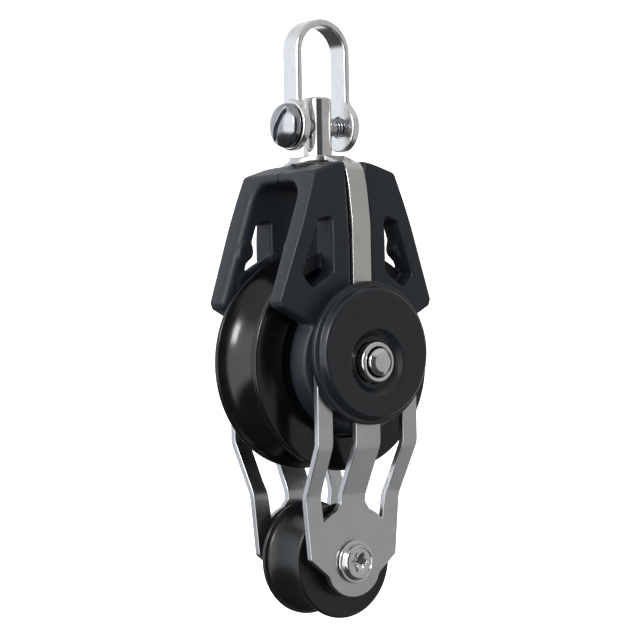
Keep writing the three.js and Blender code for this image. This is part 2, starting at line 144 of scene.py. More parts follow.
def shade(obj, angle=35, merge=0.0):
    """Smooth shading that keeps flat faces flat, after points closer than merge, in metres, are made one."""
    bm = bmesh.new()
    bm.from_mesh(obj.data)
    if merge:
        bmesh.ops.remove_doubles(bm, verts=bm.verts, dist=merge)
        bmesh.ops.dissolve_degenerate(bm, edges=bm.edges, dist=merge)
    bmesh.ops.recalc_face_normals(bm, faces=bm.faces)
    limit = math.radians(angle)
    for edge in bm.edges:
        edge.smooth = len(edge.link_faces) != 2 or edge.calc_face_angle() < limit
    for face in bm.faces:
        face.smooth = True
    bm.to_mesh(obj.data)
    bm.free()


def weighted(obj):
    """Corner normals follow the larger faces, so that small edge bands read as rounded edges."""
    obj.modifiers.new("weighted_normals", "WEIGHTED_NORMAL").keep_sharp = True
    return obj


def turned_half(obj, name):
    """A copy of a front piece for the rear: turned half a turn about the block's upright axis."""
    copy = bpy.data.objects.new(name, obj.data.copy())
    copy.data.transform(Matrix.Rotation(math.pi, 4, "Z"))
    bpy.context.scene.collection.objects.link(copy)
    for modifier in obj.modifiers:
        copy.modifiers.new(modifier.name, modifier.type)
    return copy


# ---- outlines


def rounded(corners, closed=True, steps=6):
    """Corners (a, b, radius) joined by straight lines, each corner turned by an arc of that radius."""
    points = []
    count = len(corners)
    for i, (a, b, radius) in enumerate(corners):
        here = np.array([a, b], float)
        if radius == 0 or (not closed and i in (0, count - 1)):
            points.append(here)
            continue
        before = np.array(corners[i - 1][:2], float) - here
        after = np.array(corners[(i + 1) % count][:2], float) - here
        before /= np.linalg.norm(before)
        after /= np.linalg.norm(after)
        half_angle = math.acos(np.clip(before @ after, -1, 1)) / 2
        middle = before + after
        middle /= np.linalg.norm(middle)
        arc_centre = here + middle * radius / math.sin(half_angle)
        start = here + before * radius / math.tan(half_angle) - arc_centre
        end = here + after * radius / math.tan(half_angle) - arc_centre
        sweep = math.atan2(start[0] * end[1] - start[1] * end[0], start @ end)
        for step in range(steps + 1):
            turn = sweep * step / steps
            c, s = math.cos(turn), math.sin(turn)
            points.append(arc_centre + np.array([c * start[0] - s * start[1], s * start[0] + c * start[1]]))
    return np.array(points)


def circle(radius, centre_a=0.0, centre_b=0.0, steps=64, clockwise=False):
    angles = np.linspace(0, 2 * math.pi, steps, endpoint=False)
    if clockwise:
        angles = -angles
    return np.stack([centre_a + radius * np.cos(angles), centre_b + radius * np.sin(angles)], 1)


def arc(radius, centre_b, start, end, steps):
    """Points of an arc about (0, centre_b), angles in degrees."""
    angles = np.radians(np.linspace(start, end, steps + 1))
    return np.stack([radius * np.cos(angles), centre_b + radius * np.sin(angles)], 1)


def inset(loop, distance):
    """A closed loop moved to its left by a distance, with mitred corners."""
    before = loop - np.roll(loop, 1, 0)
    after = np.roll(loop, -1, 0) - loop
    before /= np.linalg.norm(before, axis=1)[:, None]
    after /= np.linalg.norm(after, axis=1)[:, None]
    along = before + after
    along /= np.linalg.norm(along, axis=1)[:, None]
    side = np.stack([-along[:, 1], along[:, 0]], 1)
    return loop + side * (distance / np.sum(along * before, 1))[:, None]


def strip_outline(half_width, discs, fillet):
    """A strip along the second axis with round discs (place, radius) on it, from the first to the last."""
    side = []
    for i, (place, radius) in enumerate(discs):
        reach = half_width + fillet
        offset = math.sqrt((radius + fillet) ** 2 - reach**2)
        touch = math.degrees(math.atan2(offset, reach))
        start = -90 if i == 0 else -touch
        end = 90 if i == len(discs) - 1 else touch
        turn = math.degrees(math.atan2(offset, -reach)) + 180
        if i > 0:
            angles = np.radians(np.linspace(180, 180 - touch, 7)[:-1])
            side += [(reach + fillet * math.cos(a), place - offset + fillet * math.sin(a)) for a in angles]
        for a in np.radians(np.linspace(start, end, 25)):
            side.append((radius * math.cos(a), place + radius * math.sin(a)))
        if i < len(discs) - 1:
            angles = np.radians(np.linspace(180 + touch, 180, 7)[1:])
            side += [(reach + fillet * math.cos(a), place + offset + fillet * math.sin(a)) for a in angles]
    side = np.array(side)
    other = side[::-1] * [-1, 1]
    return np.concatenate([side, other[1:-1]])


# ---- bent sheet metal


class Path:
    """A bent line in a plane, walked by its length, with the direction to its left at every point."""

    def __init__(self, corners, steps=10):
        self.points = rounded(corners, closed=False, steps=steps)
        lengths = np.linalg.norm(np.diff(self.points, axis=0), axis=1)
        self.walk = np.concatenate([[0], np.cumsum(lengths)])
        self.length = self.walk[-1]
        along = np.gradient(self.points, self.walk, axis=0)
        along /= np.linalg.norm(along, axis=1)[:, None]
        self.left = np.stack([-along[:, 1], along[:, 0]], 1)

    def at(self, distance):
        """The points and left directions at these distances; the line runs on straight past its ends."""
        clipped = np.clip(distance, 0, self.length)
        spot = np.stack([np.interp(clipped, self.walk, self.points[:, k]) for k in (0, 1)], -1)
        left = np.stack([np.interp(clipped, self.walk, self.left[:, k]) for k in (0, 1)], -1)
        left /= np.linalg.norm(left, axis=-1)[..., None]
        along = np.stack([left[..., 1], -left[..., 0]], -1)
        return spot + along * (distance - clipped)[..., None], left

    def distance_at_height(self, height):
        """How far along the line, which climbs all the way, its second coordinate reaches a height."""
        extra = np.minimum(height - self.points[0, 1], 0) + np.maximum(height - self.points[-1, 1], 0)
        return np.interp(height, self.points[:, 1], self.walk) + extra

    def bends(self):
        """The distances at which the line turns."""
        turning = np.linalg.norm(np.diff(self.left, axis=0), axis=1) > 1e-4
        marks = self.walk[:-1][turning]
        return np.unique(np.concatenate([marks, self.walk[1:][turning]]))


def sheet_solid(outline, holes, thickness, edge, steps=3):
    """A flat plate with rounded edges: points (across, along, through) and faces."""
    loops = [np.asarray(outline)] + [np.asarray(hole) for hole in holes]
    points, faces, rims = [], [], {}
    base = 0
    rings = []
    for step in range(steps + 1):
        turn = math.pi / 2 * step / steps
        rings.append((edge * (1 - math.sin(turn)), thickness / 2 - edge * (1 - math.cos(turn))))
    rings += [(into, -height) for into, height in reversed(rings)]
    for number, loop in enumerate(loops):
        count = len(loop)
        for ring, (into, height) in enumerate(rings):
            flat = inset(loop, into)
            points += [(a, b, height) for a, b in flat]
            if ring in (0, len(rings) - 1):
                rims[number, ring] = (base + ring * count, flat)
        for ring in range(len(rings) - 1):
            for i in range(count):
                j = (i + 1) % count
                low, high = base + ring * count, base + (ring + 1) * count
                faces.append((low + i, low + j, high + j, high + i))
        base += count * len(rings)
    for ring in (0, len(rings) - 1):
        polygons = [[Vector((a, b, 0)) for a, b in rims[number, ring][1]] for number in range(len(loops))]
        spots = np.concatenate([rims[n, ring][0] + np.arange(len(loops[n])) for n in range(len(loops))])
        faces += [tuple(spots[list(triangle)]) for triangle in tessellate_polygon(polygons)]
    return points, faces


def bent_sheet(name, outline, holes, thickness, edge, path):
    """A plate cut flat, then bent along a path in Y and Z that is its outer face, to the path's left."""
    points, faces = sheet_solid(outline, holes, thickness, edge)
    bm = bmesh.new()
    corners = [bm.verts.new(point) for point in points]
    for face in faces:
        bm.faces.new([corners[i] for i in face])
    for mark in path.bends():
        geometry = bm.verts[:] + bm.edges[:] + bm.faces[:]
        bmesh.ops.bisect_plane(bm, geom=geometry, dist=1e-5, plane_co=(0, mark, 0), plane_no=(0, 1, 0))
    flat = np.array([vert.co for vert in bm.verts])
    spot, left = path.at(flat[:, 1])
    bent = spot + left * (flat[:, 2:3] - thickness / 2)
    for vert, across, (y, z) in zip(bm.verts, flat[:, 0], bent):
        vert.co = (across, y, z)
    bm.verts.index_update()
    places = [vert.co[:] for vert in bm.verts]
    loops = [[vert.index for vert in face.verts] for face in bm.faces]
    bm.free()
    return weighted(new_piece(name, places, loops))


# ---- turned pieces


AXES = {
    "x": lambda r, a, c, s: np.stack([a, r * c, r * s], -1),
    "y": lambda r, a, c, s: np.stack([r * s, a, r * c], -1),
    "z": lambda r, a, c, s: np.stack([r * c, r * s, a], -1),
}


def revolve(name, profile, axis="y", segments=144, shift=None, origin=UPPER_AXLE):
    """A closed profile of (radius, along) turned about an axis. shift lifts each ring by its own height."""
    profile = np.asarray(profile, float)
    on_axis = profile[0, 0] < 1e-9 and profile[-1, 0] < 1e-9
    angles = np.linspace(0, 2 * math.pi, segments, endpoint=False)
    cosines, sines = np.cos(angles)[None], np.sin(angles)[None]
    radius, along = profile[:, :1], profile[:, 1:2]
    grid = AXES[axis](radius + 0 * cosines, along + 0 * cosines, cosines + 0 * radius, sines + 0 * radius)
    if shift is not None:
        grid[..., 2] += np.asarray(shift)[:, None]
    rows = len(profile)
    faces = []
    for row in range(rows - 1 if on_axis else rows):
        below, above = row * segments, ((row + 1) % rows) * segments
        for i in range(segments):
            j = (i + 1) % segments
            faces.append((below + i, below + j, above + j, above + i))
    obj = new_piece(name, grid.reshape(-1, 3), faces, origin)
    shade(obj, merge=1e-7)
    return obj


# ---- signed distance fields


def smooth_max(a, b, blend):
    """The larger of two fields, with the crease between them rounded off over a width of blend."""
    mix = np.maximum(blend - np.abs(a - b), 0) / blend
    return np.maximum(a, b) + mix * mix * blend / 4


def smooth_min(a, b, blend):
    return -smooth_max(-a, -b, blend)


def polygon_field(a, b, loop):
    """Signed distance to a closed polygon in a plane, negative inside."""
    a, b = np.broadcast_arrays(a, b)
    nearest = np.full(a.shape, np.inf)
    inside = np.zeros(a.shape, bool)
    for (a0, b0), (a1, b1) in zip(loop, np.roll(loop, -1, 0)):
        da, db = a1 - a0, b1 - b0
        share = np.clip(((a - a0) * da + (b - b0) * db) / (da * da + db * db), 0, 1)
        gap_a, gap_b = a - a0 - share * da, b - b0 - share * db
        nearest = np.minimum(nearest, gap_a * gap_a + gap_b * gap_b)
        if db != 0:
            crosses = (b0 > b) != (b1 > b)
            inside ^= crosses & (a < (b - b0) * da / db + a0)
    return np.sqrt(nearest) * np.where(inside, -1, 1)


CUBE_CORNERS = [(i, j, k) for i in (0, 1) for j in (0, 1) for k in (0, 1)]


def field_surface(field, low, high, step):
    """The surface where a field is zero, as points and quads: one point in each grid cell that it crosses."""
    axes = [np.arange(a, b + step, step) for a, b in zip(low, high)]
    x, y, z = np.meshgrid(*axes, indexing="ij", sparse=True)
    values = np.broadcast_to(field(x, y, z), [len(line) for line in axes]).astype(np.float32)
    inside = values < 0
    cells = np.array(values.shape) - 1

    def shifted(corner):
        return tuple(slice(c, c + n) for c, n in zip(corner, cells))

    count = sum(inside[shifted(corner)].astype(np.int8) for corner in CUBE_CORNERS)
    mixed = (count > 0) & (count < 8)
    spots = np.argwhere(mixed)
    number = np.full(cells, -1)
    number[mixed] = np.arange(len(spots))
    total = np.zeros((len(spots), 3))
    hits = np.zeros(len(spots))
    for corner in CUBE_CORNERS:
        for axis in range(3):
            if corner[axis]:
                continue
            start = spots + corner
            end = start.copy()
            end[:, axis] += 1
            first, second = values[tuple(start.T)], values[tuple(end.T)]
            crosses = (first < 0) != (second < 0)
            share = np.where(crosses, first / np.where(crosses, first - second, 1), 0)
            place = start.astype(float)
            place[:, axis] += share
            total[crosses] += place[crosses]
            hits += crosses
    points = total / hits[:, None] * step + np.array([line[0] for line in axes])
    faces = []
    for axis in range(3):
        second, third = (axis + 1) % 3, (axis + 2) % 3
        low_end = np.take(inside, np.arange(cells[axis]), axis)
        high_end = np.take(inside, np.arange(1, cells[axis] + 1), axis)
        edges = np.argwhere(low_end != high_end)
        keep = (edges[:, second] > 0) & (edges[:, third] > 0)
        keep &= (edges[:, second] < cells[second]) & (edges[:, third] < cells[third])
        edges = edges[keep]
        around = []
        for back_second, back_third in ((0, 0), (1, 0), (1, 1), (0, 1)):
            cell = edges.copy()
            cell[:, second] -= back_second
            cell[:, third] -= back_third
            around.append(number[tuple(cell.T)])
        quads = np.stack(around, 1)
        outward = low_end[tuple(edges.T)]
        quads[~outward] = quads[~outward][:, ::-1]
        faces.append(quads)
    return settle(field, points, step), np.concatenate(faces)


def field_slope(field, points, nudge):
    ahead = [field(*(points + nudge * unit).T) for unit in np.eye(3)]
    behind = [field(*(points - nudge * unit).T) for unit in np.eye(3)]
    return (np.stack(ahead, 1) - np.stack(behind, 1)) / (2 * nudge)


def settle(field, points, step, rounds=3):
    """Moves points onto the field's surface, by at most half a step each way."""
    start = points.copy()
    for _ in range(rounds):
        value = field(*points.T)
        slope = field_slope(field, points, 0.01)
        size = np.maximum(np.sum(slope * slope, 1), 0.3)
        points = points - slope * (value / size)[:, None]
        points = np.clip(points, start - step / 2, start + step / 2)
    return points


def field_piece(name, field, low, high, step, origin=UPPER_AXLE):
    """A closed mesh of a field's surface, shaded with the field's own slope."""
    points, faces = field_surface(field, low, high, step)
    obj = new_piece(name, points, faces, origin)
    slope = field_slope(field, points, step / 4)
    slope /= np.maximum(np.linalg.norm(slope, axis=1), 1e-9)[:, None]
    obj.data.normals_split_custom_set_from_vertices(slope.tolist())
    return obj


# ---- shapes for the fields


def rod_field(a, b, radius):
    return np.sqrt(a * a + b * b) - radius


def between(value, low, high):
    return np.maximum(low - value, value - high)


# ---- shackle


def shackle_bow():
    """A bent strip with a thicker round ear at each end, forged as one."""
    outside = BOW_INSIDE + BOW_THICKNESS
    middle = (BOW_INSIDE + outside) / 2

    def field(x, y, z):
        over = np.maximum(z - BOW_ARCH, 0)
        strip = np.abs(np.sqrt(x * x + over * over) - middle) - BOW_THICKNESS / 2
        strip = smooth_max(strip, np.abs(y) - BOW_HALF_WIDTH, 0.9)
        strip = np.maximum(strip, PIN_HEIGHT - z)
        ear = between(np.abs(x), BOW_INSIDE, EAR_OUTER)
        ear = smooth_max(rod_field(y, z - PIN_HEIGHT, EAR_RADIUS), ear, 0.7)
        whole = smooth_min(strip, ear, 1.2)
        whole = np.maximum(whole, BOW_INSIDE - np.sqrt(x * x + over * over))
        return smooth_max(whole, -rod_field(y, z - PIN_HEIGHT, PIN_RADIUS + CLEARANCE), 0.5)

    margin = 0.4
    low = (-EAR_OUTER - margin, -EAR_RADIUS - margin, PIN_HEIGHT - EAR_RADIUS - margin)
    high = (EAR_OUTER + margin, EAR_RADIUS + margin, BOW_ARCH + outside + margin)
    return field_piece("shackle_bow_forging", field, low, high, 0.18)


def shackle_pin():
    """A slotted dome head, a plain shank and a helical thread for the far ear."""
    head_start, head_end, dome_radius = PIN_HEAD["start"], PIN_HEAD["end"], PIN_HEAD["dome_radius"]
    tilt = math.radians(PIN_SLOT["tilt"])
    thread_steepness = 0.6  # keeps the field's slope near one on the thread's flanks

    def field(x, y, z):
        reach = np.sqrt(y * y + z * z)
        dome = np.sqrt(reach**2 + (x - head_end - dome_radius) ** 2) - dome_radius
        barrel = smooth_max(reach - PIN_HEAD["radius"], x - head_start, 0.5)
        head = smooth_max(dome, barrel, 1.0)
        blade = np.abs(y * math.cos(tilt) + z * math.sin(tilt)) - PIN_SLOT["half_width"]
        slot = np.maximum(blade, x - head_end - PIN_SLOT["depth"])
        head = smooth_max(head, -slot, 0.35)
        turn = np.arctan2(z, y) / (2 * math.pi)
        groove_depth = PIN_THREAD["depth"] * (1 + np.cos(2 * math.pi * (x / PIN_THREAD["pitch"] - turn)))
        runs_in = np.clip((x - PIN_THREAD["start"]) / PIN_THREAD["pitch"], 0, 1)
        shank = (reach - PIN_RADIUS + groove_depth * runs_in) * thread_steepness
        shank = smooth_max(shank, between(x, head_start - 1, PIN_THREAD["end"]), 0.7)
        return smooth_min(head, shank, 0.4)

    low = (-14.5, -6.6, -6.6)
    high = (10.5, 6.6, 6.6)
    return field_piece("shackle_pin_machined", field, low, high, 0.12, centred_at(PIN_HEIGHT))


def centred_at(height):
    """The point on the block's upright axis at a height above the upper axle."""
    return UPPER_AXLE + Vector((0, 0, height * MM))


# ---- swivel


def swivel_post():
    """A headed post, cross-drilled for the shackle pin."""
    pin_fit = 0.1

    def field(x, y, z):
        post = smooth_max(rod_field(x, y, POST_RADIUS), between(z, POST_HEAD["bottom"], POST_TOP), 0.9)
        head = between(z, POST_HEAD["bottom"], POST_HEAD["top"])
        head = smooth_max(rod_field(x, y, POST_HEAD["radius"]), head, 0.7)
        pin_hole = rod_field(y, z - PIN_HEIGHT, PIN_RADIUS + pin_fit)
        return smooth_max(smooth_min(post, head, 0.4), -pin_hole, 0.3)

    low = (-6.6, -6.6, POST_HEAD["bottom"] - 0.4)
    high = (6.6, 6.6, POST_TOP + 0.4)
    return field_piece("swivel_post_machined", field, low, high, 0.15)


def ring_profile(inner, outer, low, high, edge=0.25):
    """A washer's section, with rounded corners."""
    corners = [(inner, low, edge), (outer, low, edge), (outer, high, edge), (inner, high, edge)]
    return rounded(corners, steps=4)


def swivel_washer():
    profile = ring_profile(POST_RADIUS + CLEARANCE, WASHER["radius"], WASHER["bottom"], WASHER["top"])
    return revolve("swivel_washer_ring", profile, axis="z", segments=96)


# ---- load strap


STRAP_LEG = [
    (-18, -9, 0),
    (-18, 17.6, 3),
    (-19.1, 21.6, 3),
    (-19.1, 38, 20),
    (-17.8, 48.5, 12),
    (-16.3, 54.2, 3.4),
    (-8, 57.3, 6),
]


def strap_path():
    """The strap's outer face in Y and Z: up the front, over the crown and down the rear."""
    return Path(STRAP_LEG + [(-y, z, radius) for y, z, radius in reversed(STRAP_LEG)])


def pad_droop(x):
    """How far the crown's pad is rolled down at its sides."""
    return PAD_DROOP["rate"] * np.maximum(np.abs(x) - PAD_DROOP["from"], 0) ** PAD_DROOP["power"]


def load_strap():
    """One bent band: an axle eye at each end and a round pad with the post's hole at the crown."""
    path = strap_path()
    eye_place = -STRAP_LEG[0][1]
    places = [eye_place, path.length / 2, path.length - eye_place]
    outline = strip_outline(STRAP_HALF_WIDTH, [(place, STRAP_EYE) for place in places], fillet=0.5)
    holes = [circle(AXLE_RADIUS + CLEARANCE, 0, place, clockwise=True) for place in (places[0], places[2])]
    holes.append(circle(POST_RADIUS + CLEARANCE, 0, places[1], clockwise=True))
    band = bent_sheet("load_strap_band", outline, holes, STRAP_THICKNESS, 0.3, path)
    pad_level = UPPER_AXLE.z + PAD_LEVEL * MM
    for vert in band.data.vertices:
        if vert.co.z > pad_level:
            vert.co.z -= pad_droop(vert.co.x / MM) * MM
    return band


# ---- cheek shells


def mirrored(right_half):
    """The right half of a symmetrical outline, completed by its mirror image."""
    return right_half + [(-x, z, radius) for x, z, radius in reversed(right_half) if x != 0]


CHEEK_FRONT = [
    (15, 9.9, 0),
    (25.7, 15.2, 1.2),
    (26.4, 17, 1.5),
    (14, 52.2, 1.8),
    (3.2, 55.7, 3),
    (0, 55.8, 0),
]
WINDOW = [(9.1, 40, 1.2), (14, 38.6, 1.5), (19, 24, 1.5), (16, 20.2, 1.5), (9.1, 24.6, 1.2)]
ROPE_SPACE = {"half_width": 10.2, "top": 49.2, "corner": 5}
SHELL_FACE = 18.2
SHELL_EDGE = 16.5
SHELL_PARTING = 0.15
SHELL_POCKETS = 40  # the seats for the pad and the post's head lie above this height
# The outer face bulges in plan, and leans in towards the top.
CHEEK_PLAN = [
    (-28, 1, 0),
    (-28, -SHELL_EDGE, 0),
    (0, -SHELL_FACE - 1.6, 60),
    (28, -SHELL_EDGE, 0),
    (28, 1, 0),
]
CHEEK_UPRIGHT = [
    (1, -30, 0),
    (-SHELL_FACE, -30, 0),
    (-SHELL_FACE, 34, 10),
    (-SHELL_EDGE, 55.2, 1.5),
    (1, 56, 0),
]
BOSS = {"radius": 20.0, "slope": 24, "depth": 15.5}
NECK_TOP = 55.4
EYE_SEAT = 16.1
GUARD = {"inner": 27.5, "outer": 31.2, "depth": 12.2, "from_x": 8.5, "to_x": 20.5, "bottom": 18}
RIB = {"x": 17.6, "z": 31, "radius": 2.4, "depth": 14}


def window_guard(x, y, z):
    """A ring inside each window that follows the sheave's rim, with a round rib at its outer jamb."""
    reach = np.sqrt(x * x + z * z)
    inside = ROPE_SPACE["half_width"]
    guard = between(reach, GUARD["inner"], GUARD["outer"])
    guard = smooth_max(guard, between(np.abs(x), GUARD["from_x"], GUARD["to_x"]), 0.4)
    guard = smooth_max(guard, np.maximum(GUARD["bottom"] - z, between(-y, inside, GUARD["depth"])), 0.5)
    rib = rod_field(np.abs(x) - RIB["x"], z - RIB["z"], RIB["radius"])
    rib = smooth_max(rib, between(-y, inside, RIB["depth"]), 0.8)
    return smooth_min(guard, rib, 0.8)


def cheek_shell():
    """The front cheek; the rear one is the same shape turned round."""
    outline = rounded(mirrored(CHEEK_FRONT))
    window = rounded(WINDOW)
    across = rounded(CHEEK_PLAN)
    upright = rounded(CHEEK_UPRIGHT)
    inside, top, corner = ROPE_SPACE.values()
    rope_space = rounded([(-inside, -30, 0), (-inside, top, corner), (inside, top, corner), (inside, -30, 0)])
    strap = strap_path()
    bed = strap.points - strap.left * (STRAP_THICKNESS + CLEARANCE)
    channel = np.concatenate([bed, [(40, -20), (40, 80), (-40, 80), (-40, -20)]])
    lean = math.radians(BOSS["slope"])
    head_room = 0.6

    def field(x, y, z):
        reach = np.sqrt(x * x + z * z)
        beyond = reach - BOSS["radius"]
        boss = smooth_max(beyond, beyond * math.cos(lean) - (y + BOSS["depth"]) * math.sin(lean), 1.5)
        body = smooth_min(polygon_field(x, z, outline), boss, 1.5)
        crown = smooth_max(polygon_field(x, y, across), polygon_field(y, z, upright), 0.8)
        body = smooth_max(body, crown, 1.0)
        drooped = z + pad_droop(x)
        pad_room = rod_field(x, y, STRAP_EYE + CLEARANCE)
        body = smooth_min(body, smooth_max(pad_room, between(drooped, top, NECK_TOP), 0.5), 0.8)
        body = smooth_max(body, -polygon_field(y, z, rope_space), 3.0)
        body = smooth_max(body, -polygon_field(np.abs(x), z, window), 0.9)
        body = smooth_min(body, window_guard(x, y, z), 1.2)
        body = smooth_max(body, y + SHELL_PARTING, 0.35)
        outside_strap = polygon_field(y, drooped, channel)
        strap_slot = np.maximum(outside_strap, np.abs(x) - STRAP_HALF_WIDTH - CLEARANCE)
        pad_seat = np.maximum(outside_strap, np.maximum(pad_room, SHELL_POCKETS - z))
        eye_seat = np.maximum(reach - STRAP_EYE - CLEARANCE, y + EYE_SEAT)
        body = smooth_max(body, -np.minimum(np.minimum(strap_slot, pad_seat), eye_seat), 0.6)
        body = np.maximum(body, AXLE_RADIUS + CLEARANCE - reach)
        head_pocket = rod_field(x, y, POST_HEAD["radius"] + head_room)
        return np.maximum(body, -np.maximum(head_pocket, SHELL_POCKETS - z))

    low = (-27.2, -18.8, -20.8)
    high = (27.2, 0.4, 56.4)
    return field_piece("cheek_moulding", field, low, high, 0.4)


# ---- fork plates


def fork_outline():
    """A disc under the hub cap, straight sides, and a lobe round the lower axle."""
    disc = arc(FORK_DISC, 0, 180, 0, 48)
    side = [(FORK_DISC, FORK_BEND_TOP, 12), (16.3, FORK_BEND_BOTTOM, 12)]
    side += [(14.7, -53.75, 0.8), (8.8, -58.5, 2.5)]
    lobe = arc(FORK_LOBE["radius"], -DROP, FORK_LOBE["start"], -180 - FORK_LOBE["start"], 24)
    corners = [(x, z, 0) for x, z in disc] + side + [(x, z, 0) for x, z in lobe]
    corners += [(-x, z, radius) for x, z, radius in reversed(side)]
    return rounded(corners)[::-1]


def fork_slot():
    """The gap between the middle arm and the right one, drawn so that the plate lies to its left."""
    inner, outer, top, lower_arc = FORK_SLOT.values()
    lower_end = [(x, z, 0) for x, z in arc(lower_arc, -DROP, 68, 48, 8)]
    corners = [(inner, top, 0), (inner, -38.6, 1.5)] + lower_end
    corners += [(outer - 0.5, -34, 6), (outer, FORK_BEND_TOP, 6), (outer, top, 0)]
    return rounded(corners)[::-1]


def fork_plate():
    """The front plate; the rear one is the same shape turned round."""
    bends = [(-FORK_INNER, -70, 0), (-FORK_INNER, FORK_BEND_BOTTOM, 6), (-FORK_OUTER, FORK_BEND_TOP, 6)]
    path = Path(bends + [(-FORK_OUTER, 20, 0)])
    right_slot = fork_slot()
    holes = [
        right_slot,
        right_slot[::-1] * [-1, 1],
        circle(AXLE_RADIUS + CLEARANCE, clockwise=True),
        circle(LOWER_SLEEVE["radius"] + CLEARANCE, 0, -DROP, clockwise=True),
    ]

    def laid_flat(loop):
        return np.stack([loop[:, 0], path.distance_at_height(loop[:, 1])], 1)

    flat_holes = [laid_flat(hole) for hole in holes]
    return bent_sheet("fork_plate_blank", laid_flat(fork_outline()), flat_holes, FORK_THICKNESS, 0.28, path)


# ---- hub caps and upper axle


def hub_cap():
    """A stepped round cap with a conical dish round the axle's collar; outside the dish it sits higher."""
    back, face, dish_floor = -20.7, -25.0, -22.9
    bore = COLLAR_RADIUS + CLEARANCE
    rise_from, rise_to = 10, 15
    section = [
        (bore, back, 0),
        (bore, dish_floor, 0.2),
        (6.95, dish_floor, 0.8),
        (9.2, face, 0.9),
        (17.5, face, 1.1),
        (18.2, -22.8, 0.5),
        (CAP_RADIUS, -22.5, 0.55),
        (CAP_RADIUS, back, 0.2),
    ]
    profile = finely(rounded(section, steps=8))
    shift = CAP_RISE * np.clip((profile[:, 0] - rise_from) / (rise_to - rise_from), 0, 1)
    return revolve("hub_cap_moulding", profile, shift=shift, segments=192)


def finely(profile, longest=1.0):
    """A closed profile with its long straight stretches divided."""
    points = []
    for start, end in zip(profile, np.roll(profile, -1, 0)):
        pieces = max(1, math.ceil(np.linalg.norm(end - start) / longest))
        points += [start + (end - start) * step / pieces for step in range(pieces)]
    return np.array(points)


def axle_collar():
    bore, back, face = COLLAR.values()
    section = [(bore, back, 0), (bore, face, 0.3), (COLLAR_RADIUS, face, 0.9), (COLLAR_RADIUS, back, 0.2)]
    return revolve("collar_ring", rounded(section), segments=128)


def axle_pin():
    half = [(0, -AXLE_HALF, 0), (2.6, -AXLE_HALF, 0.3), (AXLE_RADIUS, -AXLE_HALF + 0.9, 0.4)]
    section = half + [(radius, -y, turn) for radius, y, turn in reversed(half)]
    return revolve("upper_axle_rod", rounded(section, closed=False), segments=96)


# ---- sheaves and bearing


def groove(lip_radius, root_radius, half_width, power, steps):
    """Half of a rope groove in section, from the lip to the root: a quarter of a superellipse."""
    share = np.linspace(0, 1, steps + 1)
    along = np.sin(math.pi / 2 * share)
    depth = (1 - (1 - along) ** power) ** (1 / power)
    return np.stack([lip_radius - (lip_radius - root_radius) * depth, -half_width * (1 - along)], 1)


def wheel(name, radius, half_width, segments, origin, lip, root, bore, recesses, power):
    """A grooved wheel. Each recess is the radius at which the side face steps in towards the hub."""
    steps_in = 0.55
    side = [(bore, -half_width + steps_in * len(recesses), 0.2)]
    for number, edge in enumerate(recesses):
        deep = -half_width + steps_in * (len(recesses) - number)
        side += [(edge, deep, 0.4), (edge + steps_in, deep - steps_in, 0.4)]
    side += [(radius, -half_width, 0.7), (radius, -half_width + lip, 0.45)]
    curve = groove(radius, root, half_width - lip, power, 40)[1:]
    half = rounded(side + [(r, y, 0) for r, y in curve], steps=6)
    whole = np.concatenate([half, half[-2::-1] * [1, -1]])
    return revolve(name, finely(whole), segments=segments, origin=origin)


def upper_sheave():
    return wheel("upper_wheel", SHEAVE_RADIUS, SHEAVE_HALF, 288, UPPER_AXLE, **SHEAVE)


def lower_sheave():
    return wheel("lower_wheel", SMALL_RADIUS, SMALL_HALF, 224, LOWER_AXLE, **SMALL_SHEAVE)


def bearing_ball(number):
    """A ball of the upper bearing, in its place on the pitch circle."""
    angle = 2 * math.pi * number / BALL["count"]
    radius = BALL["radius"]
    profile = [(radius * math.sin(a), -radius * math.cos(a)) for a in np.linspace(0, math.pi, 25)]
    profile[0], profile[-1] = (0, -radius), (0, radius)
    place = Vector((math.cos(angle), 0, math.sin(angle))) * BALL["pitch"] * MM
    return revolve(f"ball_{number + 1:02d}", profile, segments=40, origin=UPPER_AXLE + place)


def ball_retainer():
    return revolve("retainer_ring", ring_profile(*RETAINER.values()), segments=128)


def axle_hub():
    profile = ring_profile(AXLE_RADIUS + CLEARANCE, HUB["outer"], -HUB["half"], HUB["half"], 0.4)
    return revolve("hub_sleeve", profile, segments=128)


# ---- lower axle


def lower_axle_screw():
    """A flanged button-head screw, from the front, with a six-lobed socket."""
    shank, end = 2.6, 8.0
    flange = 0.8
    button_radius, crown_radius, crown_angle = 5.2, 4.6, math.radians(30)
    cup_radius, cup_depth = 3.9, 0.45
    socket_radius, socket_depth, socket_slope, lobe_depth = 2.9, 3.1, 0.8, 0.14
    start, face = LOWER_HEAD["from"], LOWER_HEAD["to"]

    def field(x, y, z):
        reach = np.sqrt(x * x + z * z)
        washer = smooth_max(reach - LOWER_HEAD["radius"], between(-y, start, start + flange), 0.5)
        chamfer = (reach - crown_radius) * math.cos(crown_angle) + (-y - face) * math.sin(crown_angle)
        button = smooth_max(reach - button_radius, between(-y, start, face), 0.5)
        head = smooth_min(washer, smooth_max(button, chamfer, 0.9), 0.25)
        head = smooth_max(head, -np.maximum(reach - cup_radius, face - cup_depth + y), 0.25)
        body = smooth_max(reach - shank, between(y, -start - 0.5, end), 0.5)
        waist = 1 - lobe_depth + lobe_depth * np.cos(6 * np.arctan2(z, x))
        lobes = (reach - socket_radius * waist) * 0.8
        cone = (face - socket_depth + socket_slope * reach + y) * 0.78
        return smooth_max(np.minimum(head, body), -smooth_max(lobes, cone, 0.15), 0.15)

    low = (-6.3, -16.3, -6.3)
    high = (6.3, 8.4, 6.3)
    return field_piece("lower_screw_machined", field, low, high, 0.11, LOWER_AXLE)


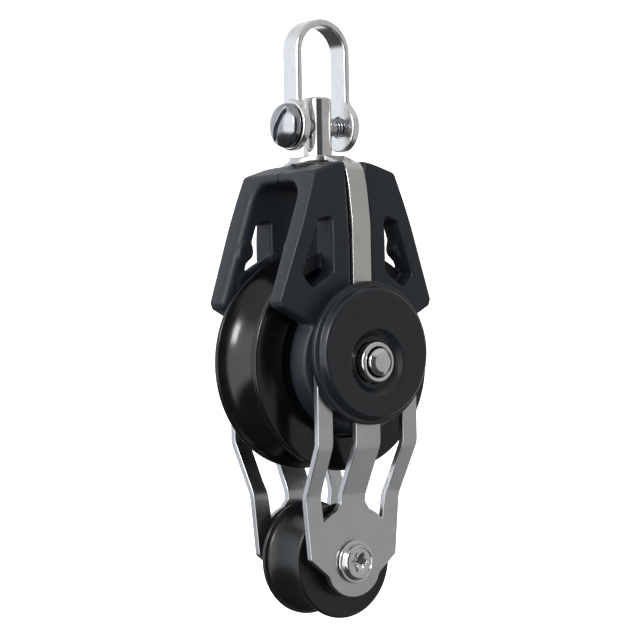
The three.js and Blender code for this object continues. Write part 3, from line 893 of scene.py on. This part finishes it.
def lower_axle_sleeve():
    """The small sheave's axle: a tube with its own flanged head at the rear."""
    radius, bore, end = LOWER_SLEEVE.values()
    rim, start, face = LOWER_HEAD.values()
    front = -start + CLEARANCE
    section = [
        (0, end, 0),
        (bore, end, 0.1),
        (bore, front, 0.1),
        (radius, front, 0.1),
        (radius, start, 0.1),
        (rim, start, 0.15),
        (rim, start + 0.7, 0.4),
        (rim - 1.1, face - 0.1, 0.5),
        (rim - 2.2, face, 0.5),
        (2.2, face, 0.2),
        (1.9, face - 0.35, 0.1),
        (0, face - 0.35, 0),
    ]
    return revolve("lower_sleeve_turned", rounded(section, closed=False), segments=96, origin=LOWER_AXLE)


def lower_bush():
    profile = ring_profile(*LOWER_BUSH.values(), -SMALL_HALF, SMALL_HALF)
    return revolve("lower_bush_liner", profile, segments=96, origin=LOWER_AXLE)


def spacer_washer():
    return revolve("spacer_ring", ring_profile(*SPACER.values()), segments=96, origin=LOWER_AXLE)


# ---- materials


def linear(red, green, blue):
    """A screen colour of 0 to 255 as linear light."""
    channels = [value / 255 for value in (red, green, blue)]
    return tuple(v / 12.92 if v <= 0.04045 else ((v + 0.055) / 1.055) ** 2.4 for v in channels) + (1.0,)


class Finish:
    """A node material, built up from patterns that are measured in millimetres on the piece."""

    def __init__(self, name, metallic=0.0, specular=0.5):
        self.material = bpy.data.materials.new(name)
        self.material.use_nodes = True
        self.nodes = self.material.node_tree.nodes
        self.links = self.material.node_tree.links
        self.shader = self.nodes["Principled BSDF"]
        self.shader.inputs["Metallic"].default_value = metallic
        self.shader.inputs["Specular IOR Level"].default_value = specular
        self.place = self.node("ShaderNodeTexCoord").outputs["Object"]

    def node(self, kind, **settings):
        made = self.nodes.new(kind)
        for key, value in settings.items():
            setattr(made, key, value)
        return made

    def stretched(self, scale):
        """The place on the piece with each axis scaled, in patterns per millimetre."""
        mapping = self.node("ShaderNodeMapping")
        mapping.inputs["Scale"].default_value = [value / MM for value in scale]
        self.links.new(self.place, mapping.inputs["Vector"])
        return mapping.outputs["Vector"]

    def noise(self, size, detail=2.0, roughness=0.5, along=(1, 1, 1)):
        """Soft noise with spots of a size in millimetres, drawn out along an axis by a small factor."""
        texture = self.node("ShaderNodeTexNoise")
        texture.inputs["Scale"].default_value = 1.0
        texture.inputs["Detail"].default_value = detail
        texture.inputs["Roughness"].default_value = roughness
        self.links.new(self.stretched([factor / size for factor in along]), texture.inputs["Vector"])
        return texture.outputs["Fac"]

    def turned_lines(self, size, axis_height):
        """Fine lines round an axle, as a lathe leaves them: noise in radius and width only."""
        split = self.node("ShaderNodeSeparateXYZ")
        self.links.new(self.place, split.inputs[0])
        lift = self.maths("SUBTRACT", split.outputs["Z"], axis_height)
        squares = [self.maths("POWER", value, 2.0) for value in (split.outputs["X"], lift)]
        radius = self.maths("SQRT", self.maths("ADD", *squares))
        section = self.node("ShaderNodeCombineXYZ")
        self.links.new(radius, section.inputs["X"])
        self.links.new(split.outputs["Y"], section.inputs["Y"])
        scaled = self.node("ShaderNodeVectorMath", operation="SCALE")
        scaled.inputs["Scale"].default_value = 1 / (size * MM)
        self.links.new(section.outputs[0], scaled.inputs[0])
        texture = self.node("ShaderNodeTexNoise")
        texture.inputs["Scale"].default_value = 1.0
        texture.inputs["Detail"].default_value = 3.0
        self.links.new(scaled.outputs[0], texture.inputs["Vector"])
        return texture.outputs["Fac"]

    def maths(self, operation, first, second=None):
        made = self.node("ShaderNodeMath", operation=operation)
        for socket, value in zip(made.inputs, (first, second)):
            if isinstance(value, (int, float)):
                socket.default_value = value
            elif value is not None:
                self.links.new(value, socket)
        return made.outputs[0]

    def spread(self, fac, low, high, start=0.3, end=0.7):
        """A pattern remapped to run between two values."""
        ramp = self.node("ShaderNodeMapRange")
        ramp.inputs["From Min"].default_value = start
        ramp.inputs["From Max"].default_value = end
        ramp.inputs["To Min"].default_value = low
        ramp.inputs["To Max"].default_value = high
        self.links.new(fac, ramp.inputs["Value"])
        return ramp.outputs["Result"]

    def blend(self, fac, first, second):
        """A colour that runs between two, each a colour or another pattern's colour."""
        mix = self.node("ShaderNodeMix", data_type="RGBA")
        self.links.new(fac, mix.inputs["Factor"])
        for socket, value in ((mix.inputs[6], first), (mix.inputs[7], second)):
            if isinstance(value, tuple):
                socket.default_value = value
            else:
                self.links.new(value, socket)
        return mix.outputs[2]

    def colour(self, value):
        self.links.new(value, self.shader.inputs["Base Color"])

    def tint(self, pattern, first, second):
        """The colour runs between two screen colours with a pattern."""
        self.colour(self.blend(self.spread(pattern, 0, 1), linear(*first), linear(*second)))

    def rough(self, pattern, low, high):
        self.links.new(self.spread(pattern, low, high), self.shader.inputs["Roughness"])

    def bumps(self, *layers):
        """Layers of (pattern, height in millimetres), one on top of another."""
        normal = None
        for pattern, height in layers:
            bump = self.node("ShaderNodeBump")
            bump.inputs["Strength"].default_value = 1.0
            bump.inputs["Distance"].default_value = height * MM
            self.links.new(pattern, bump.inputs["Height"])
            if normal is not None:
                self.links.new(normal, bump.inputs["Normal"])
            normal = bump.outputs["Normal"]
        self.links.new(normal, self.shader.inputs["Normal"])


def shell_plastic():
    """Glass-filled nylon with a fine spark-eroded texture and faint flow marks."""
    finish = Finish("glass_filled_nylon", specular=0.45)
    grain = finish.noise(0.22, detail=3)
    cloud = finish.noise(9, detail=3, along=(1, 1, 0.5))
    base = finish.blend(finish.spread(cloud, 0, 1), linear(23, 30, 37), linear(28, 36, 44))
    speck = finish.spread(finish.noise(0.5, detail=1), 0, 0.4, 0.62, 0.75)
    finish.colour(finish.blend(speck, base, linear(40, 48, 56)))
    finish.rough(cloud, 0.4, 0.5)
    finish.bumps((grain, 0.035), (finish.noise(1.6), 0.02))
    return finish.material


def cap_plastic():
    """Satin nylon, smoother than the cheeks."""
    finish = Finish("satin_nylon")
    finish.tint(finish.noise(7, detail=3), (22, 27, 32), (28, 33, 38))
    finish.rough(finish.noise(2.4, detail=4, roughness=0.65, along=(1, 1, 4)), 0.26, 0.36)
    finish.bumps((finish.noise(0.3), 0.012), (finish.noise(3), 0.02))
    return finish.material


def sheave_plastic():
    """Glossy moulded acetal with faint lines round the axle."""
    finish = Finish("glossy_acetal")
    cloud = finish.noise(8, detail=3)
    finish.tint(cloud, (11, 12, 13), (16, 17, 19))
    finish.rough(cloud, 0.13, 0.2)
    finish.bumps((finish.turned_lines(0.5, UPPER_AXLE.z), 0.012), (finish.noise(0.35), 0.006))
    return finish.material


def turned_plastic():
    """Acetal straight from the lathe, with fine lines round the axle."""
    finish = Finish("turned_acetal")
    lines = finish.turned_lines(0.16, LOWER_AXLE.z)
    finish.tint(lines, (15, 17, 19), (21, 23, 26))
    finish.rough(lines, 0.22, 0.34)
    finish.bumps((lines, 0.03), (finish.noise(0.4), 0.006))
    return finish.material


def plate_steel():
    """Sheet steel with a fine upright grain, lightly tumbled."""
    finish = Finish("brushed_sheet_steel", metallic=1.0)
    grain = finish.noise(0.16, detail=4, roughness=0.7, along=(1, 1, 0.03))
    cloud = finish.noise(6, detail=4)
    base = finish.blend(finish.spread(cloud, 0, 1), linear(196, 197, 199), linear(208, 209, 211))
    finish.colour(finish.blend(finish.spread(grain, 0, 0.35), base, linear(184, 185, 187)))
    finish.rough(cloud, 0.27, 0.36)
    finish.bumps((grain, 0.006), (finish.noise(4), 0.015))
    return finish.material


def strap_steel():
    """Tumbled sheet steel: an even satin with tiny random marks."""
    finish = Finish("tumbled_sheet_steel", metallic=1.0)
    marks = finish.noise(0.5, detail=3)
    finish.tint(finish.noise(4, detail=3), (206, 203, 200), (214, 211, 208))
    finish.rough(marks, 0.24, 0.3)
    finish.bumps((marks, 0.002), (finish.noise(3), 0.012))
    return finish.material


def clouded(name, metallic, cloud_size, first, second, rough, *marks):
    """Colour and roughness drift together over soft clouds; each mark is a bump's (height, size, options)."""
    finish = Finish(name, metallic)
    cloud = finish.noise(cloud_size, detail=3)
    finish.tint(cloud, first, second)
    finish.rough(cloud, *rough)
    finish.bumps(*[(finish.noise(size, **options), height) for height, size, options in marks])
    return finish.material


def bearing_plastic():
    """Natural acetal, off-white and slightly waxy."""
    colours = (226, 223, 213), (236, 234, 226)
    return clouded("natural_acetal", 0.0, 2.5, *colours, (0.32, 0.42), (0.01, 0.3, {}))


def polished_steel():
    """Machined and polished stainless steel with hairline scratches."""
    hairlines = (0.0015, 0.1, {"detail": 3, "roughness": 0.6, "along": (0.12, 1, 1)})
    colours = (214, 213, 212), (226, 225, 224)
    return clouded("polished_steel", 1.0, 3, *colours, (0.07, 0.13), hairlines, (0.006, 1.5, {}))


def satin_steel():
    """Forged and tumbled stainless steel, for the shackle's bow: a soft bright satin."""
    tumbling = (0.003, 0.25, {"detail": 3})
    colours = (234, 233, 232), (242, 241, 240)
    return clouded("satin_forged_steel", 1.0, 3, *colours, (0.17, 0.24), tumbling, (0.01, 1.8, {}))


def dark_polished_steel():
    """Polished stainless steel of a darker grade, for the shackle's pin."""
    marks = (0.001, 0.2, {"detail": 3})
    colours = (158, 161, 165), (170, 173, 177)
    return clouded("dark_polished_steel", 1.0, 3, *colours, (0.1, 0.17), marks, (0.006, 1.8, {}))


PLASTICS = [shell_plastic, cap_plastic, sheave_plastic, turned_plastic, bearing_plastic]
STEELS = [plate_steel, strap_steel, polished_steel, satin_steel, dark_polished_steel]
FINISHES = {build.__name__: build() for build in PLASTICS + STEELS}


# ---- camera, light and floor


# Angles in degrees, and distances and the lens in millimetres.
CAMERA = {"azimuth": -37.455, "tilt": -0.062, "roll": -1.088, "distance": 650, "lens": 130.74}
AIM = {"right": -0.3, "up": 11.72}


def direction(azimuth, height):
    """The unit vector towards a compass place round the block: azimuth 0 is the front, 90 the +X side."""
    a, h = math.radians(azimuth), math.radians(height)
    return Vector((math.sin(a) * math.cos(h), -math.cos(a) * math.cos(h), math.sin(h)))


def add_camera():
    scene = bpy.context.scene
    back = direction(CAMERA["azimuth"], CAMERA["tilt"])
    roll = Matrix.Rotation(math.radians(CAMERA["roll"]), 3, "Z").to_quaternion()
    sideways = direction(CAMERA["azimuth"] + 90, 0)
    aim = UPPER_AXLE + (sideways * AIM["right"] + Vector((0, 0, AIM["up"]))) * MM
    camera = bpy.data.objects.new("camera", bpy.data.cameras.new("camera"))
    camera.data.sensor_width = 36
    camera.data.lens = CAMERA["lens"]
    camera.data.clip_start = 0.01
    camera.rotation_mode = "QUATERNION"
    camera.rotation_quaternion = back.to_track_quat("Z", "Y") @ roll
    camera.location = aim + back * CAMERA["distance"] * MM
    scene.collection.objects.link(camera)
    scene.camera = camera


# The studio round the block, as (azimuth in degrees, brightness, tint): a bright window to the left, the dark
# camera side, a grey wall to the right and a white background behind.
STUDIO_WALLS = [
    (-86, 1.00, (1.0, 1.0, 1.0)),
    (-49, 1.00, (1.0, 1.0, 1.0)),
    (-42, 0.04, (0.92, 0.98, 1.06)),
    (-4, 0.045, (0.92, 0.98, 1.06)),
    (6, 0.23, (1.0, 1.0, 1.0)),
    (96, 0.23, (1.0, 1.0, 1.0)),
    (112, 0.42, (1.0, 1.0, 1.0)),
    (240, 0.46, (0.92, 1.0, 1.08)),
    (252, 1.00, (1.0, 1.0, 1.0)),
    (268, 1.00, (1.0, 1.0, 1.0)),
]
STUDIO_STRENGTH = 2.0
# The walls give way to an even ceiling and floor as the height on a unit sphere goes from start to end.
# The dark floor begins lower down on the front right than on the rear left.
CEILING = {"azimuth": 0, "slope": 0, "start": 0.45, "end": 0.75, "bright": 0.3}
FLOOR = {"azimuth": 37, "slope": 0.3, "start": -0.42, "end": -0.6, "bright": 0.03}
KEY_LIGHT = {"azimuth": -60, "height": 27, "distance": 600, "width": 110, "tall": 180, "watts": 1.3}


def add_studio_light():
    """Light from all round: the walls by azimuth, a soft grey ceiling above and a dark floor below."""
    bpy.context.scene.view_settings.view_transform = "Standard"
    world = bpy.data.worlds.new("studio")
    world.use_nodes = True
    bpy.context.scene.world = world
    nodes, links = world.node_tree.nodes, world.node_tree.links
    place = nodes.new("ShaderNodeTexCoord").outputs["Generated"]
    around = nodes.new("ShaderNodeTexGradient")
    around.gradient_type = "RADIAL"
    links.new(place, around.inputs["Vector"])
    walls = nodes.new("ShaderNodeValToRGB")
    stops = walls.color_ramp.elements
    while len(stops) < len(STUDIO_WALLS):
        stops.new(0.5)
    for stop, (azimuth, bright, tint) in zip(stops, STUDIO_WALLS):
        stop.position = (azimuth + 90) / 360
        stop.color = [bright * channel for channel in tint] + [1]
    links.new(around.outputs["Fac"], walls.inputs["Fac"])
    colour = walls.outputs["Color"]
    for layer in (CEILING, FLOOR):
        height = nodes.new("ShaderNodeVectorMath")
        height.operation = "DOT_PRODUCT"
        height.inputs[1].default_value = direction(layer["azimuth"], 0) * layer["slope"] + Vector((0, 0, 1))
        links.new(place, height.inputs[0])
        reach = nodes.new("ShaderNodeMapRange")
        reach.interpolation_type = "SMOOTHSTEP"
        reach.inputs["From Min"].default_value = layer["start"]
        reach.inputs["From Max"].default_value = layer["end"]
        links.new(height.outputs["Value"], reach.inputs["Value"])
        mix = nodes.new("ShaderNodeMix")
        mix.data_type = "RGBA"
        mix.inputs[7].default_value = [layer["bright"]] * 3 + [1]
        links.new(reach.outputs["Result"], mix.inputs["Factor"])
        links.new(colour, mix.inputs[6])
        colour = mix.outputs[2]
    background = nodes["Background"]
    background.inputs["Strength"].default_value = STUDIO_STRENGTH
    links.new(colour, background.inputs["Color"])


def add_key_light():
    """A compact soft box on the left, which gives the crisp highlights."""
    towards = direction(KEY_LIGHT["azimuth"], KEY_LIGHT["height"])
    lamp = bpy.data.lights.new("key_light", "AREA")
    lamp.shape = "RECTANGLE"
    lamp.size = KEY_LIGHT["width"] * MM
    lamp.size_y = KEY_LIGHT["tall"] * MM
    lamp.energy = KEY_LIGHT["watts"]
    key = bpy.data.objects.new("key_light", lamp)
    key.location = UPPER_AXLE + towards * KEY_LIGHT["distance"] * MM
    key.rotation_mode = "QUATERNION"
    key.rotation_quaternion = towards.to_track_quat("Z", "Y")
    bpy.context.scene.collection.objects.link(key)


def add_sweep():
    """A plain white floor, in metres, that curves up into the walls and ceiling of the studio."""
    floor, wall, top = -1.2, 3.0, 3.0
    corners = [(0, floor, 0), (wall, floor, 1.0), (wall, top, 1.0), (0, top, 0)]
    section = rounded(corners, closed=False, steps=12)
    sweep = revolve("studio_sweep", section / MM, axis="z", segments=96, origin=Vector((0, 0, 0)))
    material = bpy.data.materials.new("white_paper")
    material.use_nodes = True
    shader = material.node_tree.nodes["Principled BSDF"]
    shader.inputs["Base Color"].default_value = (0.9, 0.9, 0.9, 1)
    shader.inputs["Roughness"].default_value = 0.9
    shader.inputs["Emission Color"].default_value = (1, 1, 1, 1)
    shader.inputs["Emission Strength"].default_value = 1.1
    sweep.data.materials.append(material)
    sweep.visible_diffuse = False
    sweep.visible_glossy = False
    sweep.visible_shadow = False


# ---- assembly


def install(piece, name, node, body, slot, finish=None):
    """Names a piece, gives it its finish, and puts it in its CAD node's place on its body."""
    piece.name = name
    piece.data.materials.clear()
    piece.data.materials.append(FINISHES[finish or slot])
    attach(piece, body)
    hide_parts(node)


def install_pair(build, name, node, slot):
    """A front piece and its twin at the rear."""
    front = build()
    rear = turned_half(front, f"rear_{name}")
    install(front, f"front_{name}", f"front_{node}", "block_frame", slot)
    install(rear, f"rear_{name}", f"rear_{node}", "block_frame", slot)


add_camera()
add_studio_light()
add_key_light()
add_sweep()

install(shackle_bow(), "bow_forging", "shackle_bow", "shackle", "polished_steel", "satin_steel")
install(shackle_pin(), "pin_with_slotted_head", "shackle_pin", "shackle_pin", "polished_steel",
        "dark_polished_steel")
install(swivel_post(), "cross_drilled_post", "swivel_post", "swivel", "polished_steel")
install(swivel_washer(), "thrust_washer", "swivel_washer", "swivel", "bearing_plastic")
install(load_strap(), "strap_band", "load_strap", "block_frame", "strap_steel")
install(axle_pin(), "upper_axle_rod", "axle_pin", "block_frame", "polished_steel")
install(axle_hub(), "hub_sleeve", "axle_hub", "block_frame", "plate_steel")
install(upper_sheave(), "upper_wheel", "upper_sheave", "upper_sheave", "sheave_plastic")
install(lower_sheave(), "lower_wheel", "lower_sheave", "lower_sheave", "turned_plastic")
install(lower_axle_screw(), "lower_screw", "lower_axle_screw", "block_frame", "polished_steel")
install(lower_axle_sleeve(), "lower_sleeve", "lower_axle_sleeve", "block_frame", "polished_steel")
install(lower_bush(), "bush_liner", "lower_bush", "lower_sheave", "bearing_plastic")
install_pair(cheek_shell, "cheek", "shell", "shell_plastic")
install_pair(fork_plate, "three_arm_plate", "fork_plate", "plate_steel")
install_pair(hub_cap, "round_cap", "hub_cap", "cap_plastic")
install_pair(axle_collar, "collar_ring", "axle_collar", "polished_steel")
install_pair(ball_retainer, "retainer_ring", "ball_retainer", "bearing_plastic")
install_pair(spacer_washer, "spacer_ring", "spacer_washer", "polished_steel")
for number in range(BALL["count"]):
    name = f"ball_{number + 1:02d}"
    install(bearing_ball(number), name, f"bearing_{name}", "bearing_balls", "bearing_plastic")
